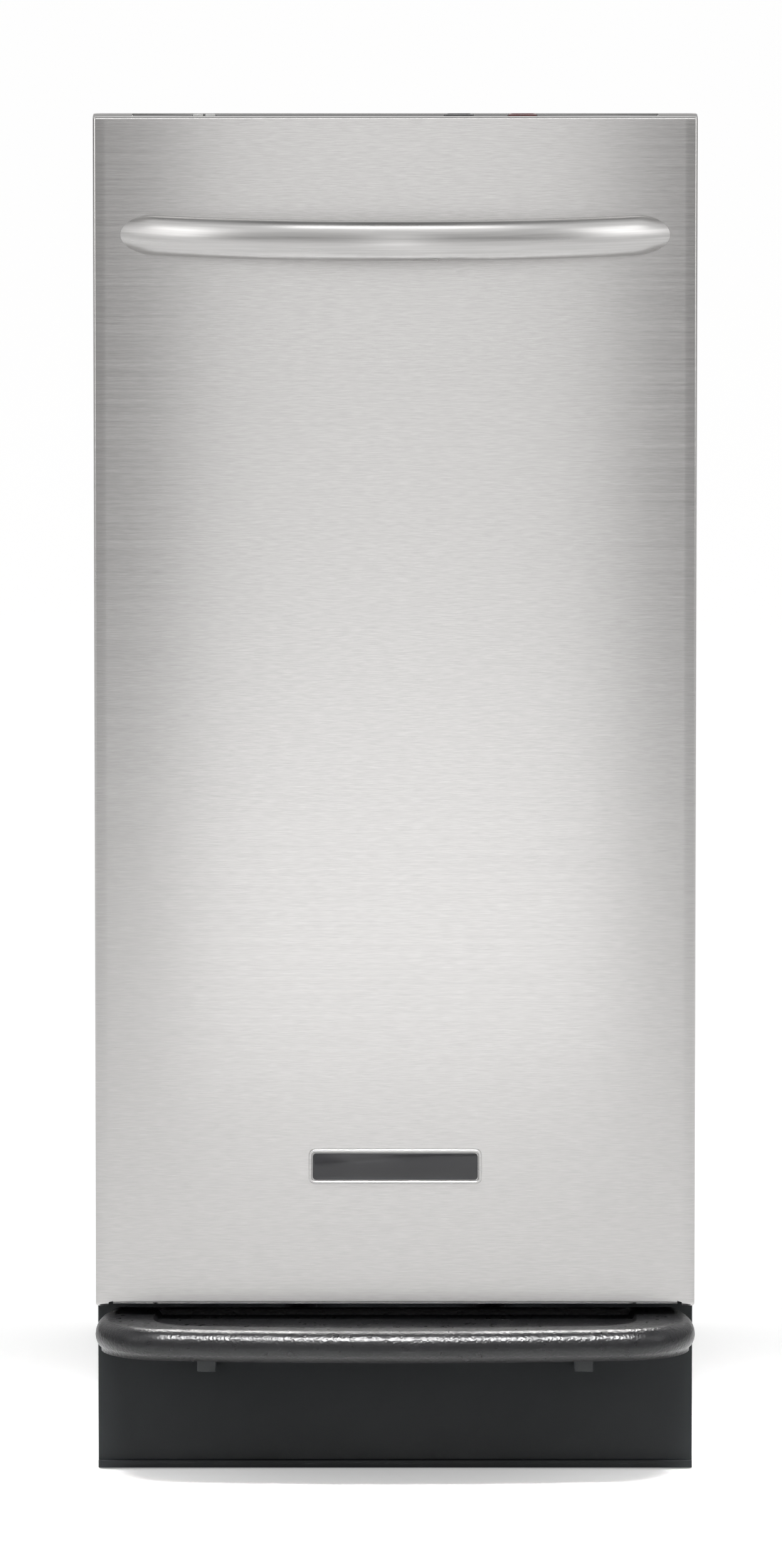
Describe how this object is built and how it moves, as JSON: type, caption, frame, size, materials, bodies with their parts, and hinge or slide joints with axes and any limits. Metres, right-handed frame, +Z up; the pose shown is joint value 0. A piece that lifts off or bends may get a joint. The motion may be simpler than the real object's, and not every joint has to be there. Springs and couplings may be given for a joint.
{
  "type": "trash compactor",
  "caption": "Built-in trash compactor with a stainless drawer front, a bow handle, a foot pedal and a toe panel; a screw-driven ram presses into the bin in its drawer.",
  "frame": {"origin": "on the floor, under the middle of the object's bounding box", "axes": "+X to the right as seen from the front, +Y from the door to the back, +Z up; the door faces -Y"},
  "size_m": [0.3794, 0.7002, 0.8673],
  "materials": {
    "brushed_stainless": "brushed",
    "polished_stainless": "fine satin",
    "console_black": "gloss",
    "button_black": "satin",
    "stop_red": "satin",
    "pedal_black": "grained",
    "toe_black": "satin",
    "grey_paint": "satin",
    "galvanised_steel": "zinc",
    "plain_steel": "machined",
    "bronze": "satin",
    "motor_enamel": "satin",
    "black_plastic": "satin",
    "white_nylon": "satin",
    "bin_plastic": "satin",
    "belt_rubber": "matt"
  },
  "bodies": {
    "cabinet": {"left_side_panel": "grey_paint", "right_side_panel": "grey_paint", "top_panel": "grey_paint", "rear_panel": "galvanised_steel", "cord_inlet": "black_plastic", "chassis": "galvanised_steel", "left_upright": "galvanised_steel", "right_upright": "galvanised_steel", "top_beam": "galvanised_steel", "ram_switch": "black_plastic", "left_cabinet_track": "galvanised_steel", "right_cabinet_track": "galvanised_steel", "toe_panel": "toe_black", "rear_axle": "plain_steel", "left_thrust_bearing": "bronze", "right_thrust_bearing": "bronze", "roller_chain": "plain_steel", "drive_belt": "belt_rubber", "drive_strap": "galvanised_steel", "motor_housing": "motor_enamel", "left_pedal_bracket": "toe_black", "right_pedal_bracket": "toe_black", "left_pedal_pin": "plain_steel", "right_pedal_pin": "plain_steel", "pedal_spring": "plain_steel"},
    "drawer": {"door_skin": "brushed_stainless", "door_liner": "grey_paint", "bow_handle": "polished_stainless", "nameplate": "console_black", "console_strip": "console_black", "drawer_tray": "grey_paint", "left_drawer_rail": "galvanised_steel", "right_drawer_rail": "galvanised_steel", "trash_bin": "bin_plastic"},
    "start_button": {"start_button": "button_black"},
    "stop_button": {"stop_button": "stop_red"},
    "key_knob": {"key_knob": "plain_steel"},
    "left_rear_roller": {"left_rear_roller": "white_nylon"},
    "right_rear_roller": {"right_rear_roller": "white_nylon"},
    "left_front_roller": {"left_front_roller": "white_nylon"},
    "right_front_roller": {"right_front_roller": "white_nylon"},
    "ram": {"ram_box": "grey_paint", "ram_plate": "plain_steel", "ram_crosshead": "galvanised_steel", "left_power_nut": "bronze", "right_power_nut": "bronze"},
    "left_screw": {"left_power_screw": "plain_steel", "left_screw_sprocket": "plain_steel"},
    "right_screw": {"right_power_screw": "plain_steel", "right_screw_sprocket": "plain_steel"},
    "jackshaft": {"drive_shaft": "plain_steel", "drive_sprocket": "plain_steel", "drive_pulley": "black_plastic"},
    "motor_rotor": {"motor_shaft": "plain_steel", "motor_pulley": "plain_steel"},
    "foot_pedal": {"foot_pedal": "pedal_black"},
    "left_levelling_leg": {"left_levelling_leg": "plain_steel"},
    "right_levelling_leg": {"right_levelling_leg": "plain_steel"},
    "left_rear_wheel": {"left_rear_wheel": "black_plastic"},
    "right_rear_wheel": {"right_rear_wheel": "black_plastic"}
  },
  "joints": [
    {"name": "drawer_slide", "type": "slide", "parent": "cabinet", "child": "drawer", "axis": [0, -1, 0], "range_m": [0, 0.42]},
    {"name": "start_button_press", "type": "slide", "parent": "drawer", "child": "start_button", "axis": [0, 0, -1], "range_m": [0, 0.002], "stiffness_N_per_m": 250, "springref_m": -0.002},
    {"name": "stop_button_press", "type": "slide", "parent": "drawer", "child": "stop_button", "axis": [0, 0, -1], "range_m": [0, 0.002], "stiffness_N_per_m": 250, "springref_m": -0.002},
    {"name": "key_knob_turn", "type": "hinge", "parent": "drawer", "child": "key_knob", "pos_m": [-0.12, -0.25915, 0.8665], "axis": [0, 0, -1], "range_deg": [0, 90]},
    {"name": "ram_slide", "type": "slide", "parent": "cabinet", "child": "ram", "axis": [0, 0, -1], "range_m": [0, 0.225]},
    {"name": "left_screw_spin", "type": "hinge", "parent": "cabinet", "child": "left_screw", "pos_m": [-0.15842, -0.01765, 0], "axis": [0, 0, 1], "continuous": true},
    {"name": "right_screw_spin", "type": "hinge", "parent": "cabinet", "child": "right_screw", "pos_m": [0.15842, -0.01765, 0], "axis": [0, 0, 1], "continuous": true},
    {"name": "jackshaft_spin", "type": "hinge", "parent": "cabinet", "child": "jackshaft", "pos_m": [-0.04498, 0.21285, 0], "axis": [0, 0, 1], "continuous": true},
    {"name": "motor_spin", "type": "hinge", "parent": "cabinet", "child": "motor_rotor", "pos_m": [0.05502, 0.28285, 0], "axis": [0, 0, 1], "continuous": true},
    {"name": "left_rear_roller_spin", "type": "hinge", "parent": "drawer", "child": "left_rear_roller", "pos_m": [-0.13812, 0.28965, 0.147], "axis": [1, 0, 0], "continuous": true},
    {"name": "right_rear_roller_spin", "type": "hinge", "parent": "drawer", "child": "right_rear_roller", "pos_m": [0.13812, 0.28965, 0.147], "axis": [1, 0, 0], "continuous": true},
    {"name": "left_front_roller_spin", "type": "hinge", "parent": "cabinet", "child": "left_front_roller", "pos_m": [-0.13812, -0.2037, 0.14425], "axis": [1, 0, 0], "continuous": true},
    {"name": "right_front_roller_spin", "type": "hinge", "parent": "cabinet", "child": "right_front_roller", "pos_m": [0.13812, -0.2037, 0.14425], "axis": [1, 0, 0], "continuous": true},
    {"name": "foot_pedal_hinge", "type": "hinge", "parent": "cabinet", "child": "foot_pedal", "pos_m": [0, -0.24215, 0.084], "axis": [1, 0, 0], "range_deg": [0, 10], "stiffness_Nm_per_rad": 2.5, "springref_deg": -20.05},
    {"name": "left_leg_turn", "type": "hinge", "parent": "cabinet", "child": "left_levelling_leg", "pos_m": [-0.1654, -0.19415, 0], "axis": [0, 0, 1], "continuous": true},
    {"name": "right_leg_turn", "type": "hinge", "parent": "cabinet", "child": "right_levelling_leg", "pos_m": [0.1654, -0.19415, 0], "axis": [0, 0, 1], "continuous": true},
    {"name": "left_wheel_spin", "type": "hinge", "parent": "cabinet", "child": "left_rear_wheel", "pos_m": [-0.1654, 0.30885, 0.025], "axis": [1, 0, 0], "continuous": true},
    {"name": "right_wheel_spin", "type": "hinge", "parent": "cabinet", "child": "right_rear_wheel", "pos_m": [0.1654, 0.30885, 0.025], "axis": [1, 0, 0], "continuous": true}
  ],
  "couplings": [
    {"joint": "left_screw_spin", "follows": "ram_slide", "rad_per_m": 494.74},
    {"joint": "right_screw_spin", "follows": "ram_slide", "rad_per_m": 494.74},
    {"joint": "jackshaft_spin", "follows": "ram_slide", "rad_per_m": 659.65},
    {"joint": "motor_spin", "follows": "ram_slide", "rad_per_m": 2968.4},
    {"joint": "left_rear_roller_spin", "follows": "drawer_slide", "rad_per_m": 47.17},
    {"joint": "right_rear_roller_spin", "follows": "drawer_slide", "rad_per_m": 47.17},
    {"joint": "left_front_roller_spin", "follows": "drawer_slide", "rad_per_m": 54.2},
    {"joint": "right_front_roller_spin", "follows": "drawer_slide", "rad_per_m": 54.2}
  ]
}
